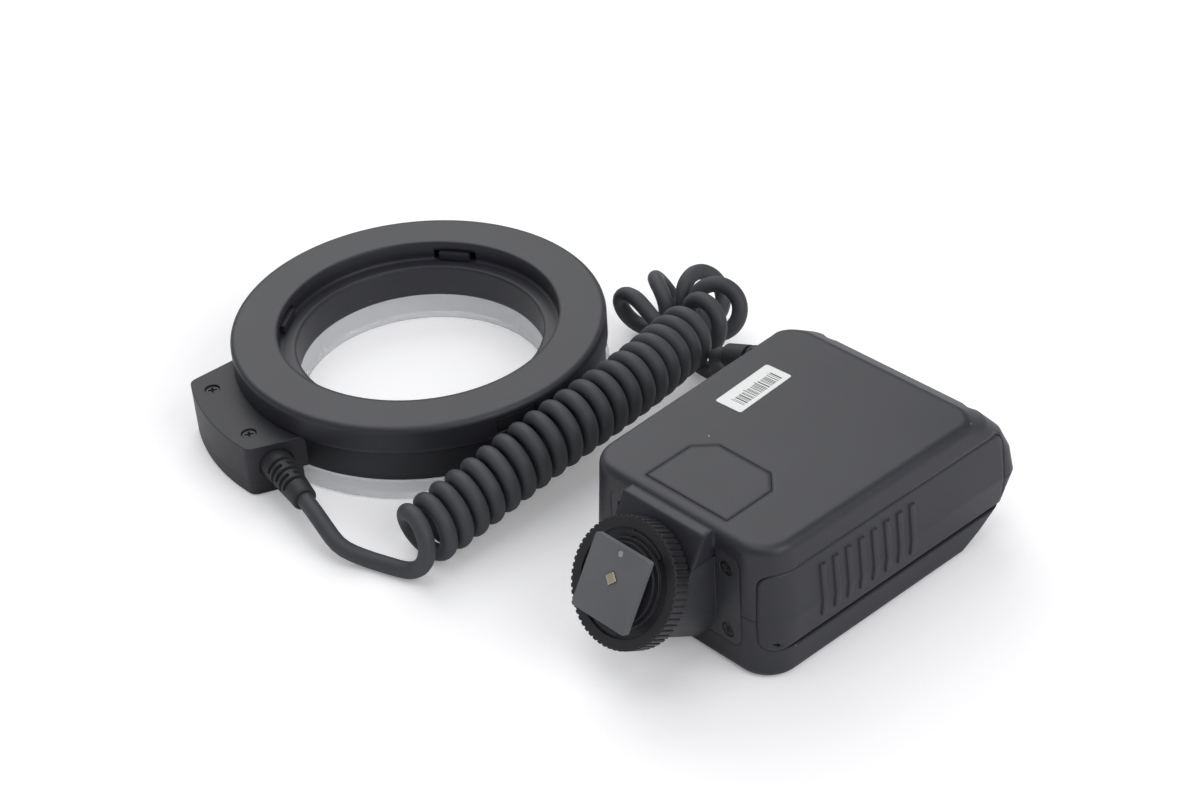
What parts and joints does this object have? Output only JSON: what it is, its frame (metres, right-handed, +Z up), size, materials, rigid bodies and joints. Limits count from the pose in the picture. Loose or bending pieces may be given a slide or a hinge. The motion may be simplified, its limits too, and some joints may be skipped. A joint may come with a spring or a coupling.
{
  "type": "ring flash",
  "caption": "Ring flash for close-up photography: a light ring with a clear diffuser, a curly cord, and a battery control unit with a hot-shoe foot and lock wheel.",
  "frame": {"origin": "centre of the footprint of the ring and the control unit, on the table they lie on", "axes": "+Z up off the table, +X from the light ring to the control unit, +Y from the hot-shoe foot to the control unit's far end"},
  "size_m": [0.2248, 0.1562, 0.0426],
  "materials": {
    "shell_plastic": "fine matte grain",
    "housing_plastic": "satin",
    "key_plastic": "satin",
    "wheel_plastic": "satin, knurled",
    "foot_plastic": "satin",
    "cord_rubber": "satin",
    "clear_diffuser": "clear with a frosted texture",
    "clear_window": "polished",
    "white_inside": "matte",
    "board": "solder mask",
    "chip": "moulded",
    "lamp": "moulded lens",
    "label": "printed paper",
    "bracket_metal": "satin black",
    "screw_steel": "blackened",
    "bright_steel": "plain",
    "contact_metal": "plated",
    "cell_jacket": "plain foil",
    "capacitor_sleeve": "sleeved",
    "display": "glass front"
  },
  "bodies": {
    "flash": {"ring_rear_cover": "shell_plastic", "ring_front_housing": "housing_plastic", "arm_bottom_cover": "housing_plastic", "arm_terminal_board": "board", "arm_screws": "screw_steel", "ring_strain_relief": "cord_rubber", "ring_diffuser": "clear_diffuser", "led_board": "board", "ring_leds": "lamp", "light_reflector": "white_inside", "ring_screws": "screw_steel", "front_shell": "shell_plastic", "rear_shell": "shell_plastic", "battery_cells": "cell_jacket", "battery_tray": "housing_plastic", "cell_contacts": "contact_metal", "main_board": "board", "board_chips": "chip", "capacitor": "capacitor_sleeve", "display_module": "display", "display_window": "clear_window", "tact_switches": "chip", "power_switch": "chip", "pilot_lamp": "lamp", "badge_plate": "shell_plastic", "barcode_label": "label", "shell_screws": "screw_steel", "unit_strain_relief": "cord_rubber", "shoe_bracket": "bracket_metal", "bracket_screws": "screw_steel", "hot_shoe_foot": "foot_plastic", "ring_lead": "cord_rubber", "curly_cord": "cord_rubber", "unit_lead": "cord_rubber"},
    "latch_a": {"latch_slider_a": "housing_plastic"},
    "latch_b": {"latch_slider_b": "housing_plastic"},
    "door_pin": {"hinge_pin": "bright_steel"},
    "door": {"battery_door": "shell_plastic", "door_contacts": "contact_metal"},
    "mode_key": {"mode_button": "key_plastic"},
    "plus_key": {"plus_button": "key_plastic"},
    "minus_key": {"minus_button": "key_plastic"},
    "test_key": {"test_button": "key_plastic"},
    "power_knob": {"power_switch_knob": "key_plastic"},
    "wheel": {"lock_wheel": "wheel_plastic"},
    "pressure": {"pressure_ring": "housing_plastic", "lock_pin": "bright_steel"},
    "contact": {"centre_contact": "contact_metal"}
  },
  "joints": [
    {"name": "latch_a_press", "type": "slide", "parent": "flash", "child": "latch_a", "axis": [0.9816, -0.1908, 0], "range_m": [0, 0.0022], "stiffness_N_per_m": 500, "springref_m": -0.003},
    {"name": "latch_b_press", "type": "slide", "parent": "flash", "child": "latch_b", "axis": [-0.9816, 0.1908, 0], "range_m": [0, 0.0022], "stiffness_N_per_m": 500, "springref_m": -0.003},
    {"name": "door_slide", "type": "slide", "parent": "flash", "child": "door_pin", "axis": [-0.0314, -0.9995, 0], "range_m": [0, 0.004]},
    {"name": "door_hinge", "type": "hinge", "parent": "door_pin", "child": "door", "pos_m": [0.10702, -0.02482, 0.0115], "axis": [0.0314, 0.9995, 0], "range_deg": [0, 90]},
    {"name": "mode_key_press", "type": "slide", "parent": "flash", "child": "mode_key", "axis": [0, 0, 1], "range_m": [0, 0.0005], "stiffness_N_per_m": 400, "springref_m": -0.001},
    {"name": "plus_key_press", "type": "slide", "parent": "flash", "child": "plus_key", "axis": [0, 0, 1], "range_m": [0, 0.0005], "stiffness_N_per_m": 400, "springref_m": -0.001},
    {"name": "minus_key_press", "type": "slide", "parent": "flash", "child": "minus_key", "axis": [0, 0, 1], "range_m": [0, 0.0005], "stiffness_N_per_m": 400, "springref_m": -0.001},
    {"name": "test_key_press", "type": "slide", "parent": "flash", "child": "test_key", "axis": [0, 0, 1], "range_m": [0, 0.0005], "stiffness_N_per_m": 400, "springref_m": -0.001},
    {"name": "power_knob_slide", "type": "slide", "parent": "flash", "child": "power_knob", "axis": [1, 0, 0], "range_m": [0, 0.004]},
    {"name": "wheel_turn", "type": "hinge", "parent": "flash", "child": "wheel", "pos_m": [0.07609, -0.05003, 0.0307], "axis": [0, -0.8572, 0.515], "range_deg": [0, 110]},
    {"name": "pressure_rise", "type": "slide", "parent": "flash", "child": "pressure", "axis": [0, -0.8572, 0.515], "range_m": [0, 0.0012]},
    {"name": "contact_press", "type": "slide", "parent": "flash", "child": "contact", "axis": [0, 0.8572, -0.515], "range_m": [0, 0.0006], "stiffness_N_per_m": 300, "springref_m": -0.001}
  ],
  "couplings": [
    {"joint": "pressure_rise", "follows": "wheel_turn", "m_per_rad": 0.000625}
  ]
}
